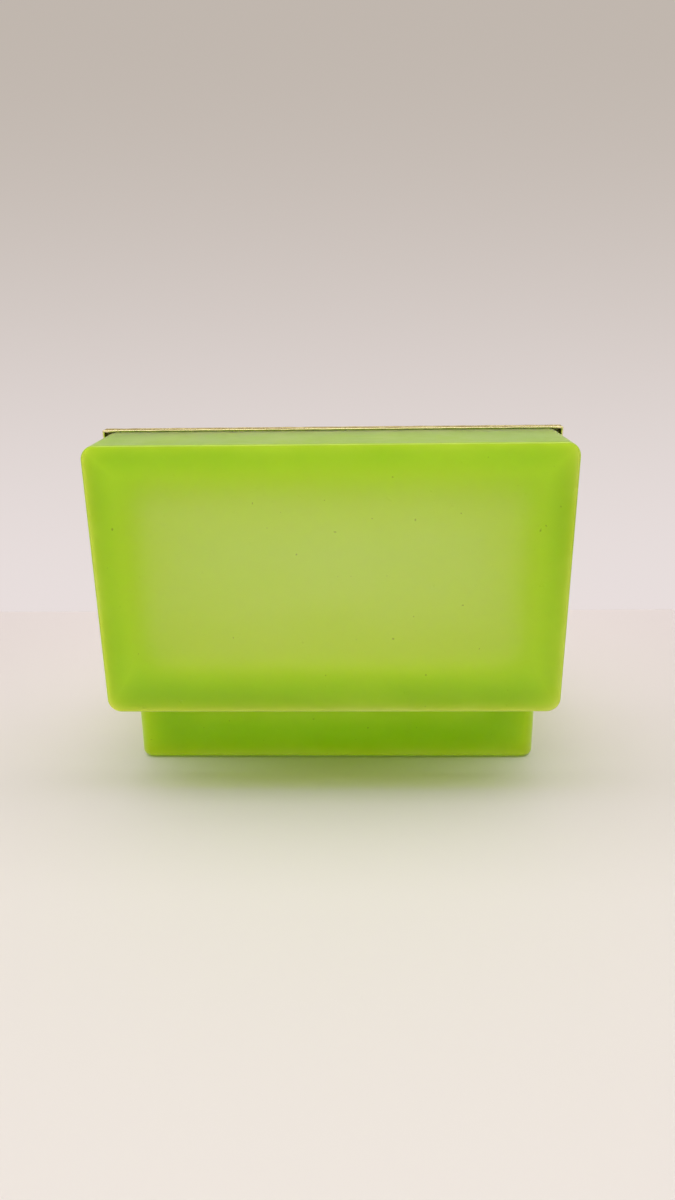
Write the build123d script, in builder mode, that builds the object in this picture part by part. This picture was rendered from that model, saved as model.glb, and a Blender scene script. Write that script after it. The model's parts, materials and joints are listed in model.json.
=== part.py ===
from build123d import *
from math import cos, radians, sin
import os

# A hinged glass powder box: two pressed-glass trays bound in gilt brass rims, joined by a hinge along
# the back and standing open on the hinge's lid stops.
#
# Millimetres. The origin is the middle of the base's underside, +Z is up, the front faces -Y and the
# hinge is at the back, +Y. Each half is drawn on its own mouth plane, whose normal points away from the
# mouth into that half's glass and whose Y runs towards the hinge. The lid's mouth plane is the open one.

# Overall size
WIDTH = 127.0  # of the glass, left to right
DEPTH = 75.2  # of the glass, front to back
BASE_HEIGHT = 28.4  # from the table to the base's mouth plane
LID_HEIGHT = 26.8  # from the lid's mouth plane to its outer face
OPEN_ANGLE = 92.0  # between the two mouth planes when the lid rests on its stops, degrees

# Glass trays
WALL = 6.5
BASE_FLOOR = 8.0
LID_TOP = 5.0
GLASS_CORNER_R = 3.8
BASE_FOOT_R = 2.0
LID_EDGE_R = 0.6
HOLLOW_CORNER_R = 13.0
HOLLOW_FLOOR_R = 12.0
GROUND_BEVEL = 0.3  # on both edges of the ground mouth

# Rims: square-cornered channels of brass strip round the mouth of each tray
STRIP = 0.5
RIM_GAP = 0.1  # between glass and strip
SKIRT = 3.5  # height outside the glass
LINING = 2.6  # height inside the glass
BEND_R = 0.25
BED = 0.3  # plaster between the ground glass and the rim
MOUTH_GAP = 0.1  # between the two rims when the lid is shut

# Hinge
HINGE_LENGTH = 36.0
KNUCKLES = 5
KNUCKLE_GAP = 0.1
BARREL_R = 1.8
BARREL_GAP = 0.05  # between a barrel and the rims
BORE_R = 0.85
PIN_R = 0.8
PIN_HEAD_R = 1.35
PIN_HEAD = 0.8
LEAF = 0.6
LEAF_START = 1.4  # from the mouth plane, where a leaf has to clear the other half's barrels

# Lid stops, one beyond each end of the hinge
STOP_WIDTH = 2.6
STOP_START = 1.4  # beyond the hinge's end
STOP_REACH = 3.0  # behind the hinge axis
STOP_PAD_START = 0.7  # behind the hinge axis
STOP_GAP = 0.02  # between a stop and the open lid's rim
STOP_TOP = 0.6  # of the part soldered to the rim, below the hinge axis
STOP_EASE_R = 0.4

# Snap catch, in the middle of the front wall
TONGUE = 0.5
TONGUE_WIDTH = 9.0
TONGUE_REACH = 2.4  # past the lid's mouth plane
TONGUE_STEP = 0.7  # how far the end stands in from the lining
TONGUE_BEND = (0.9, 0.2)  # the step's start and end, from the lid's mouth plane
KEEPER = 0.3
KEEPER_WIDTH = 12.0
KEEPER_HOLE_R = 1.1
BUMP_R = 0.9
BUMP = 0.25
BUMP_DROP = 1.3  # of the bump's middle, past the mouth plane

# Worked out from the above
RIM_WIDTH = WIDTH + 2 * (RIM_GAP + STRIP)
RIM_DEPTH = DEPTH + 2 * (RIM_GAP + STRIP)
RIM_BACK = RIM_DEPTH / 2
HOLLOW_WIDTH = WIDTH - 2 * WALL
HOLLOW_DEPTH = DEPTH - 2 * WALL
LINING_CORNER_R = HOLLOW_CORNER_R - RIM_GAP
LINING_FRONT = RIM_GAP + STRIP - HOLLOW_DEPTH / 2  # the lining's inner face, at the front
GLASS_START = STRIP + BED  # from the mouth plane to the ground glass
AXIS_OUT = BARREL_GAP + BARREL_R  # of the hinge axis, behind the rims
AXIS_Y = RIM_BACK + AXIS_OUT
AXIS_Z = BASE_HEIGHT + MOUTH_GAP / 2
HINGE_END = HINGE_LENGTH / 2


def opened(y, z):
    """A step from the hinge axis as it is with the lid shut, turned to where it is with the lid open."""
    turn = radians(OPEN_ANGLE)
    return y * cos(turn) + z * sin(turn), z * cos(turn) - y * sin(turn)


def lid_mouth():
    step_y, step_z = opened(-AXIS_Y, MOUTH_GAP / 2)
    up_y, up_z = opened(0, 1)
    return Plane(origin=(0, AXIS_Y + step_y, AXIS_Z + step_z), x_dir=(1, 0, 0), z_dir=(0, up_y, up_z))


def section(mouth):
    """The plane of a half's cross-sections: X towards the hinge, Y away from the mouth."""
    return Plane(origin=mouth.origin, x_dir=mouth.y_dir, z_dir=mouth.x_dir)


def glass_tray(mouth, height, closed_end, edge_radius):
    """One glass half, hollow from its mouth."""
    away = Axis(mouth.origin, mouth.z_dir)
    with BuildPart() as tray:
        with BuildSketch(mouth.offset(GLASS_START)):
            RectangleRounded(WIDTH, DEPTH, GLASS_CORNER_R)
        extrude(amount=height - GLASS_START)
        fillet(tray.faces().sort_by(away)[-1].edges(), edge_radius)
        with BuildSketch(mouth.offset(GLASS_START)):
            RectangleRounded(HOLLOW_WIDTH, HOLLOW_DEPTH, HOLLOW_CORNER_R)
        extrude(amount=height - GLASS_START - closed_end, mode=Mode.SUBTRACT)
        hollow_floor = tray.faces().filter_by(mouth).sort_by(away)[1]
        fillet(hollow_floor.edges(), HOLLOW_FLOOR_R)
        chamfer(tray.faces().sort_by(away)[0].edges(), GROUND_BEVEL)
    return tray.part


def rim(mouth):
    """A channel: a web across the ground glass, a square skirt outside it and a lining inside it."""
    away = Axis(mouth.origin, mouth.z_dir)
    with BuildPart() as channel:
        with BuildSketch(mouth):
            RectangleRounded(RIM_WIDTH, RIM_DEPTH, STRIP)
        extrude(amount=SKIRT)
        fillet(channel.faces().sort_by(away)[0].edges(), BEND_R)
        with BuildSketch(mouth.offset(STRIP)):
            Rectangle(WIDTH + 2 * RIM_GAP, DEPTH + 2 * RIM_GAP)
        extrude(amount=SKIRT - STRIP, mode=Mode.SUBTRACT)
        with BuildSketch(mouth.offset(STRIP)):
            lining_outline()
        extrude(amount=LINING - STRIP)
        with BuildSketch(mouth):
            lining_outline()
            offset(amount=-STRIP, mode=Mode.REPLACE)
        extrude(amount=LINING, mode=Mode.SUBTRACT)
    return channel.part


def lining_outline(mode=Mode.ADD):
    """The outside of a rim's lining."""
    width = HOLLOW_WIDTH - 2 * RIM_GAP
    depth = HOLLOW_DEPTH - 2 * RIM_GAP
    return RectangleRounded(width, depth, LINING_CORNER_R, mode=mode)


def bedding(mouth):
    """The plaster that the ground glass is set in, filling the rim out to its square corners."""
    with BuildPart() as bed:
        with BuildSketch(mouth.offset(STRIP)):
            Rectangle(WIDTH + 2 * RIM_GAP, DEPTH + 2 * RIM_GAP)
            lining_outline(mode=Mode.SUBTRACT)
        extrude(amount=BED)
    return bed.part


def hinge_leaf(mouth, first_knuckle):
    """A leaf soldered to the back of a rim, with every second knuckle of the hinge."""
    cut = section(mouth)
    axis = (AXIS_Y, -MOUTH_GAP / 2)
    leaf_y = RIM_BACK + LEAF / 2
    pitch = HINGE_LENGTH / KNUCKLES
    with BuildPart() as leaf:
        with BuildSketch(cut.offset(-HINGE_END)):
            with Locations((leaf_y, LEAF_START)):
                Rectangle(LEAF, SKIRT - LEAF_START, align=(Align.CENTER, Align.MIN))
        extrude(amount=HINGE_LENGTH)
        for number in range(first_knuckle, KNUCKLES, 2):
            start = number * pitch - HINGE_END + KNUCKLE_GAP / 2
            with BuildSketch(cut.offset(start)):
                with Locations(axis):
                    Circle(BARREL_R)
                with Locations((leaf_y, 0)):
                    Rectangle(LEAF, LEAF_START, align=(Align.CENTER, Align.MIN))
                with Locations(axis):
                    Circle(BORE_R, mode=Mode.SUBTRACT)
            extrude(amount=pitch - KNUCKLE_GAP)
    return leaf.part


def pin_of_hinge():
    """The hinge pin, headed over at both ends."""
    length = HINGE_LENGTH + 2 * (KNUCKLE_GAP + PIN_HEAD)
    with BuildPart() as pin:
        with BuildSketch(Plane.YZ.offset(-length / 2)):
            with Locations((AXIS_Y, AXIS_Z)):
                Circle(PIN_R)
        extrude(amount=length)
        for side in (-1, 1):
            with BuildSketch(Plane.YZ.offset(side * (length / 2 - PIN_HEAD))):
                with Locations((AXIS_Y, AXIS_Z)):
                    Circle(PIN_HEAD_R)
            extrude(amount=side * PIN_HEAD)
        for end_face in (pin.faces().sort_by(Axis.X)[0], pin.faces().sort_by(Axis.X)[-1]):
            fillet(end_face.edges(), PIN_HEAD / 2)
    return pin.part


def lid_stop(side):
    """A bracket on the back of the base's rim, with a pad that the open lid's skirt lies on."""

    def pad_height(y):
        lean = radians(OPEN_ANGLE - 90)
        return (AXIS_OUT - STOP_GAP - y * sin(lean)) / cos(lean)

    inner_end = side * (HINGE_END + STOP_START)
    with BuildPart() as stop:
        with BuildSketch(Plane(origin=(inner_end, AXIS_Y, AXIS_Z), x_dir=(0, 1, 0), z_dir=(1, 0, 0))):
            with BuildLine():
                Polyline(
                    (-AXIS_OUT, -STOP_TOP),
                    (-AXIS_OUT, -SKIRT),
                    (0, -SKIRT),
                    (STOP_REACH, -STOP_PAD_START),
                    (STOP_REACH, pad_height(STOP_REACH)),
                    (STOP_PAD_START, pad_height(STOP_PAD_START)),
                    (STOP_PAD_START, -STOP_TOP),
                    close=True,
                )
            make_face()
        extrude(amount=side * STOP_WIDTH)
        fillet(stop.edges().filter_by(Axis.X).sort_by(Axis.Y)[-2:], STOP_EASE_R)
    return stop.part


def tongue(mouth):
    """The catch's spring tongue, soldered inside the lid's front lining, with a bump near its end."""
    root = LINING_FRONT
    end = LINING_FRONT + TONGUE_STEP
    bend_start, bend_end = TONGUE_BEND
    with BuildPart() as strip:
        with BuildSketch(section(mouth).offset(-TONGUE_WIDTH / 2)):
            with BuildLine():
                Polyline(
                    (root, LINING),
                    (root, bend_start),
                    (end, bend_end),
                    (end, -TONGUE_REACH),
                    (end + TONGUE, -TONGUE_REACH),
                    (end + TONGUE, bend_end),
                    (root + TONGUE, bend_start),
                    (root + TONGUE, LINING),
                    close=True,
                )
            make_face()
        extrude(amount=TONGUE_WIDTH)
        with BuildSketch(Plane(origin=mouth.from_local_coords((0, end, -BUMP_DROP)), z_dir=-mouth.y_dir)):
            Circle(BUMP_R)
        extrude(amount=BUMP, taper=45)
    return strip.part


def keeper(mouth):
    """The catch's keeper, a pierced plate soldered inside the base's front lining."""
    with BuildPart() as plate:
        with BuildSketch(Plane(mouth.from_local_coords((0, LINING_FRONT, 0)), mouth.x_dir, mouth.y_dir)):
            with Locations((0, -LINING / 2)):
                Rectangle(KEEPER_WIDTH, LINING)
            with Locations((0, -BUMP_DROP)):
                Circle(KEEPER_HOLE_R, mode=Mode.SUBTRACT)
        extrude(amount=KEEPER)
    return plate.part


def save(part, name):
    part.label = name
    export_step(part, f"parts/{name}.step")


os.makedirs("parts", exist_ok=True)

base = Plane(origin=(0, 0, BASE_HEIGHT), x_dir=(-1, 0, 0), z_dir=(0, 0, -1))
lid = lid_mouth()

save(glass_tray(base, BASE_HEIGHT, BASE_FLOOR, BASE_FOOT_R), "glass_base")
save(bedding(base), "base_bed")
save(rim(base), "base_rim")
save(hinge_leaf(base, 0), "base_hinge_leaf")
save(pin_of_hinge(), "hinge_pin")
save(lid_stop(-1), "lid_stop_left")
save(lid_stop(1), "lid_stop_right")
save(keeper(base), "catch_keeper")

save(glass_tray(lid, LID_HEIGHT, LID_TOP, LID_EDGE_R), "glass_lid")
save(bedding(lid), "lid_bed")
save(rim(lid), "lid_rim")
save(hinge_leaf(lid, 1), "lid_hinge_leaf")
save(tongue(lid), "catch_tongue")
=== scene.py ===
import json
import math
import random
import bpy
from mathutils import Matrix, Vector


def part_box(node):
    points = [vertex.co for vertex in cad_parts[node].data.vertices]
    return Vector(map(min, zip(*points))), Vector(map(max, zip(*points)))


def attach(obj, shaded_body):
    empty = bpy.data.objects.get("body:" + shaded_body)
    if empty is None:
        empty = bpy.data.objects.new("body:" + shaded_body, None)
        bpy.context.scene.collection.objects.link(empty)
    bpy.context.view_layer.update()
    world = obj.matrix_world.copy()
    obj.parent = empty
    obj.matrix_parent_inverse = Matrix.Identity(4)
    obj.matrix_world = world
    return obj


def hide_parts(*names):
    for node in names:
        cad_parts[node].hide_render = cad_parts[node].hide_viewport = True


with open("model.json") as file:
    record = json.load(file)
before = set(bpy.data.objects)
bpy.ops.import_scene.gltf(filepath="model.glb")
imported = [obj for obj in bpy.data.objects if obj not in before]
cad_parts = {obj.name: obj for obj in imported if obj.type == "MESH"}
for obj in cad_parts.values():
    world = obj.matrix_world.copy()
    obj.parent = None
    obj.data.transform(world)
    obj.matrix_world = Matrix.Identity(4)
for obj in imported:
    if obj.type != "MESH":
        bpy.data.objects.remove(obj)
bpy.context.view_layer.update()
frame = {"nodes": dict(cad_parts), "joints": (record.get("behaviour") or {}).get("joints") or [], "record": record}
hinge = frame["joints"][0]
axis_at = Vector(hinge["pos_m"])

# A hinged powder box: two green satin glass trays in gilt brass rims, open on its lid stops and seen from
# behind. Lengths named here are in millimetres. The object's own places come from the frame; the camera's and
# the studio's are set here. The glass's edge tones and the light levels were chosen by fitting.
MM = 0.001

# Camera, looking at the back of the box from a little above
CAMERA_AT = (-7.2, 285.2, 132.3)
CAMERA_AIM = (-1.7, 68.0, 63.4)
CAMERA_ROLL = -0.67  # degrees
LENS = 25.5
SENSOR = 36.0
CLIP_START = 10.0

# Studio: a pale table, a glowing cloth wall in front of the box and a tent that is open behind the camera
TABLE_REACH = 4000.0
TABLE_COLOUR = (0.83, 0.785, 0.76, 1)
# Painted light: the paper is lighter for a stretch in front of the wall.
TABLE_FAR_COLOUR = (0.88, 0.82, 0.80, 1)
TABLE_FADE = 170.0  # from the wall
TABLE_BEYOND_COLOUR = (0.57, 0.52, 0.505, 1)  # far from the box and beyond the wall, where more light falls
TABLE_BEYOND = (60.0, 650.0)  # from the origin, where that colour starts and is full
WALL_AHEAD = 77.0  # of the base's front
WALL_HEIGHT = 600.0
WALL_LOW = (0.806, 0.731, 0.721, 1)
WALL_MIDDLE = (0.53, 0.472, 0.424, 1)
WALL_HIGH = (0.159, 0.138, 0.127, 1)  # but the camera sees the backdrop's colour there
WALL_MIDDLE_AT = 260.0
WALL_HIGH_AT = 400.0
TENT_COLOUR = (1, 0.97, 0.95, 1)
BACKDROP = (0.76, 0.71, 0.69, 1)  # what the camera sees of the tent
TENT_TOP = 1.9
TENT_SIDES = 0.56
TENT_TILT = 0.6  # how far the bright top leans over towards the wall
TENT_LEAN = 0.6  # how much brighter the tent is on the +X side
TENT_CAMERA = 0.05  # behind the camera
TENT_SHINE = 0.45  # least glow of the tent in reflections
LAMP = 0.35  # watts
LAMP_LENGTH = 800.0
LAMP_WIDTH = 60.0
LAMP_AT = (0.0, 255.0, 600.0)
LAMP_TURN = 0.3175  # radians about X, off straight down

# Glass
GREEN = (0.45, 0.725, 0.028, 1)
# Each half's colour at its sides, deeper glass and painted shade, and how fast it fades in from the hinge side
# against the others
LID_SHADE_TONE = ((0.27, 0.47, 0.008, 1), 0.6)
BASE_SHADE_TONE = ((0.36, 0.58, 0.004, 1), 1.0)
CLOUD_GREEN = (0.50, 0.75, 0.045, 1)
ARRIS_HIGHLIGHT_GREEN = (0.60, 0.78, 0.20, 1)
ARRIS_START = 0.1  # from the front edge: a painted highlight along it, on glass that fingers rub smoother
ARRIS_END = 0.42
ARRIS_HIGHLIGHT_AND_WEAR = 0.5
SEED_GREEN = (0.16, 0.26, 0.01, 1)  # of the specks in the glass
WANDER = (0.04, 0.05, 0.06, 1)  # nominal scattering distance of each colour in mid-face, metres
EDGE_WANDER = (0.04, 0.05, 0.032, 1)
WANDER_DEPTH = 38.0  # in from the sides, where the wandering is the mid-face's
EDGE_DEPTH = 9.0  # in from the sides, where the colour is the mid-face's
GLASS_SHINE = (0.8, 1, 0.4, 1)
LAMP_TINT = (0.86, 0.98, 0.01, 1)  # of shadow rays, at each surface they go straight through

# Gilding and plaster
GILT = (0.97, 0.89, 0.48, 1)
DULL_GILT = (0.68, 0.56, 0.24, 1)
OLD_GILT = (0.40, 0.33, 0.15, 1)
RECESS_DARK = (0.15, 0.11, 0.04, 1)
SPECKS = (0.25, 0.16, 0.07, 1)
GILT_EDGE_TINT = (0.5, 0.38, 0.22, 1)
PALE_PLASTER = (0.66, 0.61, 0.48, 1)
DARK_PLASTER = (0.42, 0.36, 0.24, 1)

# Rims. The strip and the lining have the sizes of the CAD rims they stand for.
STRIP = 0.5
LINING = 2.6
LINING_IN = 7.2  # from the rim's outside to the lining's outside
LINING_CORNER_R = 12.9
CORNER_R = 0.5
BEAD_PITCH = 1.15
BEAD_HEIGHT = 0.17
BEAD_REACH = 0.8  # half of a bead's height on the skirt
BAND_INSET = 0.18  # of the beads' ground, below the lips
BEAD_SIZES = (0.65, 1.0)
BEADS_DRAWN = 211  # before their sizes repeat
LIP = 0.7
LIP_INSET = 0.02
SKIRT_EDGE_INSET = 0.3
MOUTH_EDGE_INSET = 0.4
EASE = 0.12  # on the strip's cut edges
ROLL_R = 0.25  # from the web into the lining
WAVE = 0.07  # of the strip, which was bent by hand
WAVE_SKEW = 0.6
BASE_WAVES = (0.71, 0.23)  # per millimetre along the skirt
LID_WAVES = (0.83, 0.19)
PATINA = 0.9
SHARP_ANGLE = 50.0
STEPS_PER_BEAD = 7
CORNER_STEPS = 20
LIP_STEPS = 6
BAND_STEPS = 14
ROLL_STEPS = 4


class Shader:
    """A material's or a world's node tree while it is being wired."""

    def __init__(self, name, owner=None):
        self.material = owner or bpy.data.materials.new(name)
        self.material.use_nodes = True
        self.tree = self.material.node_tree
        self.surface = self.tree.nodes.get("Principled BSDF")

    def node(self, kind, **settings):
        """Adds a node. Settings named like its properties set them, and others fill or link its inputs."""
        made = self.tree.nodes.new("ShaderNode" + kind)
        inputs = {}
        for name, value in settings.items():
            if hasattr(made, name):
                setattr(made, name, value)
            else:
                inputs[name.replace("_", " ")] = value
        for name, value in inputs.items():
            self.feed(made.inputs[name], value)
        return made

    def feed(self, socket, value):
        """Links a socket to another, or fills it with a plain value."""
        if isinstance(value, bpy.types.NodeSocket):
            self.tree.links.new(value, socket)
        else:
            socket.default_value = value

    def dress(self, **inputs):
        """Fills or links inputs of the Principled shader."""
        for name, value in inputs.items():
            self.feed(self.surface.inputs[name.replace("_", " ")], value)

    def maths(self, operation, *values):
        made = self.node("Math", operation=operation)
        for socket, value in zip(made.inputs, values):
            self.feed(socket, value)
        return made.outputs[0]

    def place(self):
        return self.node("TexCoord").outputs["Object"]

    def noise(self, size, detail=3, roughness=0.5, stretch=(1, 1, 1)):
        """Noise from 0 to 1 whose blobs are about size millimetres across."""
        spread = self.node("Mapping", Vector=self.place(), Scale=stretch)
        made = self.node("TexNoise", Scale=1 / (size * MM), Detail=detail, Roughness=roughness,
                         Vector=spread.outputs[0])
        return made.outputs["Fac"]

    def ramp(self, value, start, end, low=0.0, high=1.0):
        """Turns start..end into low..high with soft ends."""
        made = self.node("MapRange", interpolation_type="SMOOTHSTEP", Value=value, From_Min=start,
                         From_Max=end, To_Min=low, To_Max=high)
        return made.outputs[0]

    def mix(self, factor, first, second):
        made = self.node("Mix", data_type="RGBA")
        self.feed(made.inputs[0], factor)
        self.feed(made.inputs[6], first)
        self.feed(made.inputs[7], second)
        return made.outputs[2]

    def bump(self, height, depth, under=None):
        """Raises the surface by height times depth millimetres, over the bump called under."""
        made = self.node("Bump", Height=height, Distance=depth * MM)
        if under is not None:
            self.feed(made.inputs["Normal"], under)
        return made.outputs[0]


def rest_turn(half):
    """Turns a half from its place in the shut box to its place at rest."""
    if half == "base":
        return Matrix.Identity(4)
    turn = Matrix.Rotation(-math.radians(hinge["range_deg"][1]), 4, "X")
    return Matrix.Translation(axis_at) @ turn @ Matrix.Translation(-axis_at)


def glass_material(half, edge_green_shade, hinge_shade_fade):
    """Green satin glass that light wanders through. Its sides are tinted darker green by how far in from them a
    place is in the shut box: partly for the deeper glass there and partly as painted shade, which is widest on the
    lid's hinge side."""
    node = "glass_" + half
    shader = Shader(node)
    closing = rest_turn(half).inverted()
    corners = [closing @ vertex.co for vertex in frame["nodes"][node].data.vertices]
    middle = (0, 0, axis_at.z)
    reach = [max(abs(corner[axis] - middle[axis]) for corner in corners) for axis in range(3)]
    shut = shader.node("Mapping", Vector=shader.place(), Location=closing.to_translation(),
                       Rotation=closing.to_euler())
    place = shader.node("SeparateXYZ", Vector=shut.outputs[0]).outputs
    from_mouth = shader.maths("ABSOLUTE", shader.maths("SUBTRACT", place["Z"], axis_at.z))
    under_face = shader.maths("SUBTRACT", reach[2], from_mouth)
    across = shader.maths("SUBTRACT", reach[0], shader.maths("ABSOLUTE", place["X"]))
    front = shader.maths("ADD", place["Y"], reach[1])
    back = shader.maths("SUBTRACT", reach[1], place["Y"])
    toned = shader.maths("MINIMUM", shader.maths("MINIMUM", across, front),
                         shader.maths("MULTIPLY", back, hinge_shade_fade))

    # Painted shade: a darker green towards the sides, partly for the deeper glass there.
    shaded_body = shader.mix(shader.ramp(toned, 0, EDGE_DEPTH * MM), edge_green_shade, GREEN)
    wander = shader.mix(shader.ramp(toned, 0, WANDER_DEPTH * MM), EDGE_WANDER, WANDER)
    clouds = shader.ramp(shader.noise(38, 4, 0.55, (1, 1, 1.6)), 0.35, 0.75, 0, 0.3)
    cloudy = shader.mix(clouds, shaded_body, CLOUD_GREEN)
    # A painted highlight along the face's front edge, where the worn glass is also smoother.
    from_edge = shader.maths("MAXIMUM", front, under_face)
    highlight_and_wear = shader.ramp(from_edge, ARRIS_START * MM, ARRIS_END * MM, ARRIS_HIGHLIGHT_AND_WEAR, 0)
    highlighted = shader.mix(highlight_and_wear, cloudy, ARRIS_HIGHLIGHT_GREEN)
    seeds = shader.ramp(shader.noise(1.2, 0), 0.87, 0.89, 0, 0.6)
    colour = shader.mix(seeds, highlighted, SEED_GREEN)
    handling = shader.ramp(shader.noise(9, 5, 0.7), 0.35, 0.7, 0.34, 0.5)
    roughness = shader.maths("MULTIPLY_ADD", highlight_and_wear, -0.12, handling)
    satin = shader.bump(shader.noise(0.25, 2), 0.006)
    pressed = shader.bump(shader.noise(24, 1), 0.22, under=satin)
    pits = shader.bump(shader.ramp(shader.noise(2.2, 1), 0.74, 0.8), -0.05, under=pressed)
    shader.surface.subsurface_method = "RANDOM_WALK"
    shader.dress(Base_Color=colour, Subsurface_Weight=shader.maths("MULTIPLY_ADD", highlight_and_wear, -0.4, 1),
                 Subsurface_Scale=1, Subsurface_Radius=wander, Roughness=roughness, IOR=1.5,
                 Specular_IOR_Level=0.5, Specular_Tint=GLASS_SHINE, Sheen_Weight=0.4,
                 Sheen_Roughness=0.35, Normal=pits)
    through = shader.node("BsdfTransparent", Color=LAMP_TINT)
    blend = shader.node("MixShader", Fac=shader.node("LightPath").outputs["Is Shadow Ray"])
    shader.feed(blend.inputs[1], shader.surface.outputs[0])
    shader.feed(blend.inputs[2], through.outputs[0])
    shader.feed(shader.tree.nodes["Material Output"].inputs["Surface"], blend.outputs[0])
    return shader.material


def brass_material():
    """Old gilding: pale where it is handled, browner in patches and in the hollows, with hair scratches."""
    shader = Shader("gilt_brass")
    patches = shader.ramp(shader.noise(8, 6, 0.6), 0.45, 0.8, 0, 0.5)
    gilt = shader.mix(patches, GILT, DULL_GILT)
    # Darker and rougher in the recesses, from ambient occlusion.
    shelter = shader.node("AmbientOcclusion", samples=4, Distance=0.8 * MM).outputs["AO"]
    recess_darkening = shader.ramp(shelter, 0.75, 0.25, 0, 0.75)
    recess_darkened = shader.mix(recess_darkening, gilt, RECESS_DARK)
    rubbing = shader.ramp(shader.noise(2.5, 4, 0.7), 0.3, 0.65, 0.55, 1)
    aged = shader.node("Attribute", attribute_name="patina").outputs["Fac"]
    old = shader.mix(shader.maths("MULTIPLY", aged, rubbing), recess_darkened, OLD_GILT)
    specks = shader.ramp(shader.noise(0.5, 2), 0.72, 0.78, 0, 0.7)
    colour = shader.mix(specks, old, SPECKS)
    worn = shader.ramp(shader.noise(3, 4, 0.6), 0.3, 0.75, 0.16, 0.36)
    roughness = shader.maths("MULTIPLY_ADD", recess_darkening, 0.3, worn)
    scratches = shader.noise(0.3, 2, 0.6, (0.06, 1, 1))
    marks = shader.bump(scratches, 0.002)
    dents = shader.bump(shader.noise(6, 1), 0.012, under=marks)
    shader.dress(Base_Color=colour, Metallic=1, Roughness=roughness, Specular_Tint=GILT_EDGE_TINT,
                 Normal=dents)
    return shader.material


def plaster_material():
    """Bedding plaster, yellowed and grainy."""
    shader = Shader("plaster")
    colour = shader.mix(shader.noise(1.2, 4, 0.7), PALE_PLASTER, DARK_PLASTER)
    grain = shader.bump(shader.noise(0.2, 3, 0.7), 0.05)
    roughness = shader.ramp(shader.noise(0.8), 0.3, 0.7, 0.75, 0.95)
    shader.dress(Base_Color=colour, Roughness=roughness, Normal=grain)
    return shader.material


def dress_cad_nodes(brass):
    """Gives each CAD node the material of its slot in the record, and each glass its own."""
    plaster = plaster_material()
    for part in frame["record"]["subparts"]:
        name = part["node"]
        if name == "glass_lid":
            material = glass_material("lid", *LID_SHADE_TONE)
        elif name == "glass_base":
            material = glass_material("base", *BASE_SHADE_TONE)
        else:
            material = brass if part["material_slot"] == "gilt_brass" else plaster
        mesh = frame["nodes"][name].data
        mesh.materials.clear()
        mesh.materials.append(material)


def ring(width, depth, radius, side_steps):
    """Points round a rounded rectangle with their outward directions, as many as side_steps asks for."""
    points = []
    reach_x = width / 2 - radius
    reach_y = depth / 2 - radius
    corners = ((1, -1), (1, 1), (-1, 1), (-1, -1))
    for number, (side_x, side_y) in enumerate(corners):
        start = math.radians(90 * number - 90)
        for step in range(CORNER_STEPS):
            angle = start + math.radians(90) * step / CORNER_STEPS
            out = Vector((math.cos(angle), math.sin(angle)))
            points.append((Vector((side_x * reach_x, side_y * reach_y)) + out * radius, out))
        next_x, next_y = corners[(number + 1) % 4]
        angle = start + math.radians(90)
        out = Vector((math.cos(angle), math.sin(angle)))
        first = Vector((side_x * reach_x, side_y * reach_y)) + out * radius
        last = Vector((next_x * reach_x, next_y * reach_y)) + out * radius
        for step in range(side_steps[number % 2]):
            points.append((first.lerp(last, step / side_steps[number % 2]), out))
    return points


def skirt_profile(height):
    """(away from the mouth, inset) down the outside of the skirt: a lip, the band of beads and a lip."""
    rows = []
    for step in range(LIP_STEPS + 1):
        angle = math.pi * step / LIP_STEPS
        rows.append((LIP / 2 - LIP / 2 * math.cos(angle), BAND_INSET * (1 - math.sin(angle)) + LIP_INSET))
    band = height - 2 * LIP
    for step in range(1, BAND_STEPS):
        rows.append((LIP + band * step / BAND_STEPS, BAND_INSET))
    for away, inset in reversed(rows[:LIP_STEPS + 1]):
        rows.append((height - away, inset))
    return rows


def bead_height(along, across, sizes):
    """How far the band stands out at a place along it and at a height from the middle of its width."""
    number = math.floor(along / BEAD_PITCH)
    off = (along / BEAD_PITCH - number - 0.5) * 2
    dome = 1 - off * off - (across / BEAD_REACH) ** 2
    return BEAD_HEIGHT * sizes[number % len(sizes)] * math.sqrt(max(dome, 0))


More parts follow.
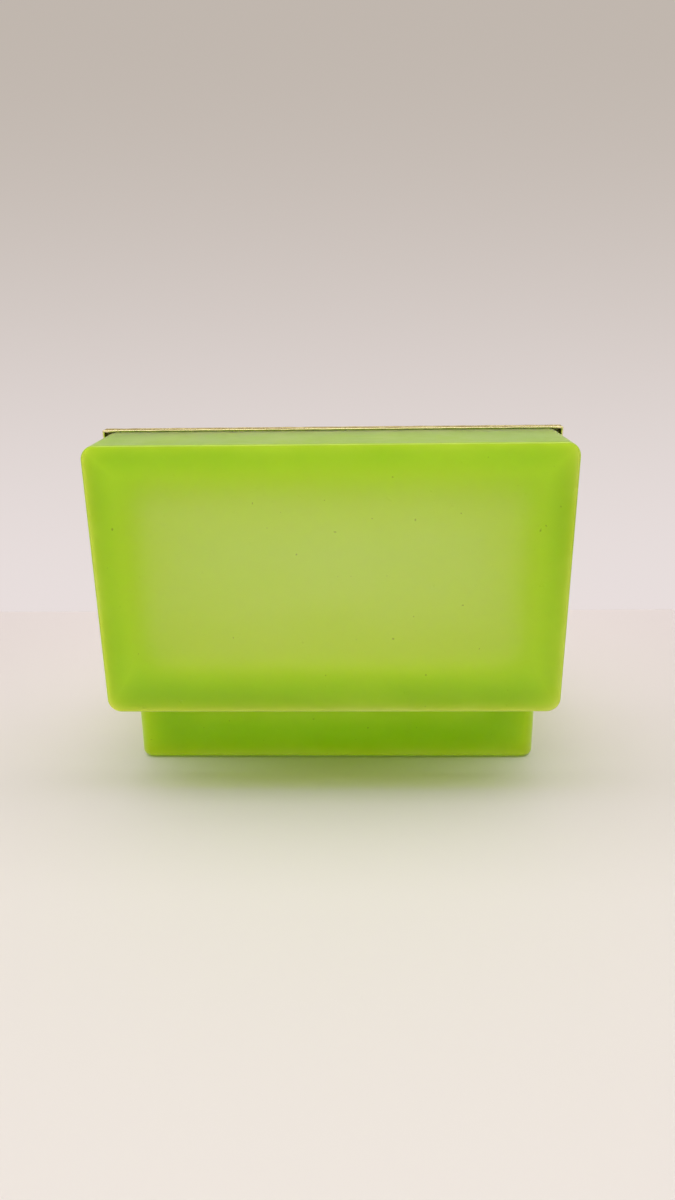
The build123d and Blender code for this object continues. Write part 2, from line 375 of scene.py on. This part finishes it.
def build_rim(half, brass, waves):
    """A channel of strip round one mouth: a beaded skirt outside, the web, and a rolled lining inside."""
    node = half + "_rim"
    low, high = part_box("base_rim")
    width = (high[0] - low[0]) / MM
    depth = (high[1] - low[1]) / MM
    height = (high[2] - low[2]) / MM
    gap = axis_at.z - high[2]
    side = 1 if half == "lid" else -1
    turn = rest_turn(half)
    straights = (depth - 2 * CORNER_R, width - 2 * CORNER_R)
    side_steps = [round(length / BEAD_PITCH) * STEPS_PER_BEAD for length in straights]
    chance = random.Random(half)
    sizes = [chance.uniform(*BEAD_SIZES) for _ in range(BEADS_DRAWN)]

    outer = ring(width, depth, CORNER_R, side_steps)
    lengths = [0.0]
    for (here, _), (there, _) in zip(outer, outer[1:]):
        lengths.append(lengths[-1] + (there - here).length)
    rows = []
    patina = []

    def outer_row(away, inset, beaded=False, old=0.0):
        row = []
        for (point, out), along in zip(outer, lengths):
            ripple = math.sin(along * waves[0]) * math.sin(along * waves[1] + away * WAVE_SKEW)
            sink = inset + WAVE * 0.5 * (1 + ripple)
            bead = bead_height(along, away - height / 2, sizes) if beaded else 0
            sink -= bead
            patina.append(max(old - bead / BEAD_HEIGHT, 0))
            at = point - out * max(sink, 0)
            row.append((at.x, at.y, away))
        rows.append(row)

    def inner_row(away, thick):
        inner = ring(width - 2 * (LINING_IN + thick), depth - 2 * (LINING_IN + thick),
                     LINING_CORNER_R - thick, side_steps)
        rows.append([(point.x, point.y, away) for point, _ in inner])
        patina.extend([0.0] * len(inner))

    for away, inset in skirt_profile(height):
        beaded = LIP < away < height - LIP
        outer_row(away, inset, beaded, PATINA if away < height - LIP else 0)
    for away, inset in ((height, SKIRT_EDGE_INSET), (height - EASE, STRIP), (STRIP, STRIP)):
        outer_row(away, inset + WAVE)
    inner_row(STRIP, 0)
    inner_row(LINING - EASE, 0)
    inner_row(LINING, EASE)
    inner_row(LINING, STRIP - EASE)
    inner_row(LINING - EASE, STRIP)
    for step in range(ROLL_STEPS + 1):
        angle = math.radians(90) * step / ROLL_STEPS
        inner_row(ROLL_R - ROLL_R * math.sin(angle), STRIP - ROLL_R + ROLL_R * math.cos(angle))
    outer_row(0, MOUTH_EDGE_INSET)

    count = len(outer)
    corners = [turn @ Vector((x * MM, y * MM, axis_at.z + side * (gap + away * MM)))
               for row in rows for x, y, away in row]
    faces = []
    for upper in range(len(rows)):
        lower = (upper + 1) % len(rows)
        for step in range(count):
            after = (step + 1) % count
            here = upper * count
            there = lower * count
            face = (here + step, here + after, there + after, there + step)
            faces.append(face if half == "lid" else face[::-1])
    mesh = bpy.data.meshes.new(node + "_beaded")
    mesh.from_pydata(corners, [], faces)
    mesh.materials.append(brass)
    mesh.attributes.new("patina", "FLOAT", "POINT").data.foreach_set("value", patina)
    mesh.polygons.foreach_set("use_smooth", [True] * len(faces))
    mesh.set_sharp_from_angle(angle=math.radians(SHARP_ANGLE))
    piece = bpy.data.objects.new(node + "_beaded", mesh)
    bpy.context.scene.collection.objects.link(piece)
    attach(piece, half)
    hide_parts(node)


def plane(name, corners, material):
    """A flat piece of the studio."""
    mesh = bpy.data.meshes.new(name)
    mesh.from_pydata([Vector(corner) * MM for corner in corners], [], [range(len(corners))])
    mesh.materials.append(material)
    made = bpy.data.objects.new(name, mesh)
    bpy.context.scene.collection.objects.link(made)


def table_material(wall_y):
    """Pale matt paper, painted lighter for a stretch in front of the wall, and toned so that it looks even
    although more light falls far from the box.
    """
    shader = Shader("table")
    ahead = shader.node("SeparateXYZ", Vector=shader.place()).outputs["Y"]
    start = wall_y * MM
    near = shader.mix(shader.ramp(ahead, start, start + TABLE_FADE * MM), TABLE_FAR_COLOUR, TABLE_COLOUR)
    away = shader.node("VectorMath", operation="LENGTH")
    shader.feed(away.inputs[0], shader.place())
    beyond_start, beyond_end = TABLE_BEYOND
    beyond = shader.ramp(away.outputs["Value"], beyond_start * MM, beyond_end * MM)
    outer = shader.maths("MAXIMUM", beyond, shader.maths("LESS_THAN", ahead, start))
    colour = shader.mix(outer, near, TABLE_BEYOND_COLOUR)
    shader.dress(Base_Color=colour, Roughness=0.8, Specular_IOR_Level=0.2)
    return shader.material


def wall_material():
    """Cloth that glows, less so higher up, and isn't there when seen from behind."""
    shader = Shader("wall")
    height = shader.node("SeparateXYZ", Vector=shader.place()).outputs["Z"]
    glow = shader.mix(shader.ramp(height, 0, WALL_MIDDLE_AT * MM), WALL_LOW, WALL_MIDDLE)
    high = shader.ramp(height, WALL_MIDDLE_AT * MM, WALL_HIGH_AT * MM)
    top = shader.mix(shader.node("LightPath").outputs["Is Camera Ray"], WALL_HIGH, BACKDROP)
    cloth = shader.node("Emission", Color=shader.mix(high, glow, top))
    unseen = shader.node("BsdfTransparent")
    blend = shader.node("MixShader", Fac=shader.node("NewGeometry").outputs["Backfacing"])
    shader.feed(blend.inputs[1], cloth.outputs[0])
    shader.feed(blend.inputs[2], unseen.outputs[0])
    shader.feed(shader.tree.nodes["Material Output"].inputs["Surface"], blend.outputs[0])
    return shader.material


def build_studio():
    """The table and the wall, both as wide as the table reaches."""
    reach = TABLE_REACH
    top = WALL_HEIGHT
    wall_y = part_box("glass_base")[0][1] / MM - WALL_AHEAD
    table = [(-reach, -reach, 0), (reach, -reach, 0), (reach, reach, 0), (-reach, reach, 0)]
    plane("table", table, table_material(wall_y))
    wall = [(-reach, wall_y, 0), (-reach, wall_y, top), (reach, wall_y, top), (reach, wall_y, 0)]
    plane("wall", wall, wall_material())


def light_lamp():
    """A long soft lamp above the camera."""
    lamp = bpy.data.lights.new("strip", "AREA")
    lamp.shape = "RECTANGLE"
    lamp.size = LAMP_LENGTH * MM
    lamp.size_y = LAMP_WIDTH * MM
    lamp.energy = LAMP
    strip = bpy.data.objects.new("strip", lamp)
    strip.location = Vector(LAMP_AT) * MM
    strip.rotation_euler = (-LAMP_TURN, 0, 0)
    bpy.context.scene.collection.objects.link(strip)


def light_tent():
    """A cloth tent with a bright top. The camera sees a plain backdrop instead."""
    world = bpy.data.worlds.new("tent")
    bpy.context.scene.world = world
    tent = Shader("tent", world)
    direction = tent.node("SeparateXYZ", Vector=tent.node("TexCoord").outputs["Generated"]).outputs
    even = tent.ramp(direction["Y"], 0.3, 0.8, TENT_SIDES, TENT_CAMERA)
    sides = tent.maths("MULTIPLY", even, tent.maths("MULTIPLY_ADD", direction["X"], TENT_LEAN, 1))
    tilted = tent.maths("MULTIPLY_ADD", direction["Y"], -TENT_TILT, direction["Z"])
    glow = tent.node("Mix", data_type="FLOAT", Factor=tent.ramp(tilted, 0.3, 0.7))
    tent.feed(glow.inputs[2], sides)
    tent.feed(glow.inputs[3], TENT_TOP)
    sky = tent.tree.nodes["Background"]
    glossy = tent.node("LightPath").outputs["Is Glossy Ray"]
    shine = tent.maths("MULTIPLY", glossy, TENT_SHINE)
    tent.feed(sky.inputs["Strength"], tent.maths("MAXIMUM", glow.outputs[0], shine))
    tent.feed(sky.inputs["Color"], TENT_COLOUR)
    backdrop = tent.node("Background", Color=BACKDROP)
    seen = tent.node("MixShader", Fac=tent.node("LightPath").outputs["Is Camera Ray"])
    tent.feed(seen.inputs[1], sky.outputs[0])
    tent.feed(seen.inputs[2], backdrop.outputs[0])
    tent.feed(tent.tree.nodes["World Output"].inputs["Surface"], seen.outputs[0])


def place_camera():
    lens = bpy.data.cameras.new("camera")
    lens.lens = LENS
    lens.sensor_width = SENSOR
    lens.clip_start = CLIP_START * MM
    camera = bpy.data.objects.new("camera", lens)
    at = Vector(CAMERA_AT) * MM
    turn = (Vector(CAMERA_AIM) * MM - at).to_track_quat("-Z", "Y").to_matrix().to_4x4()
    roll = Matrix.Rotation(math.radians(CAMERA_ROLL), 4, "Z")
    camera.matrix_world = Matrix.Translation(at) @ turn @ roll
    bpy.context.scene.collection.objects.link(camera)
    bpy.context.scene.camera = camera


gilt = brass_material()
dress_cad_nodes(gilt)
build_rim("base", gilt, BASE_WAVES)
build_rim("lid", gilt, LID_WAVES)
build_studio()
light_lamp()
light_tent()
place_camera()
bpy.context.scene.view_settings.view_transform = "Standard"
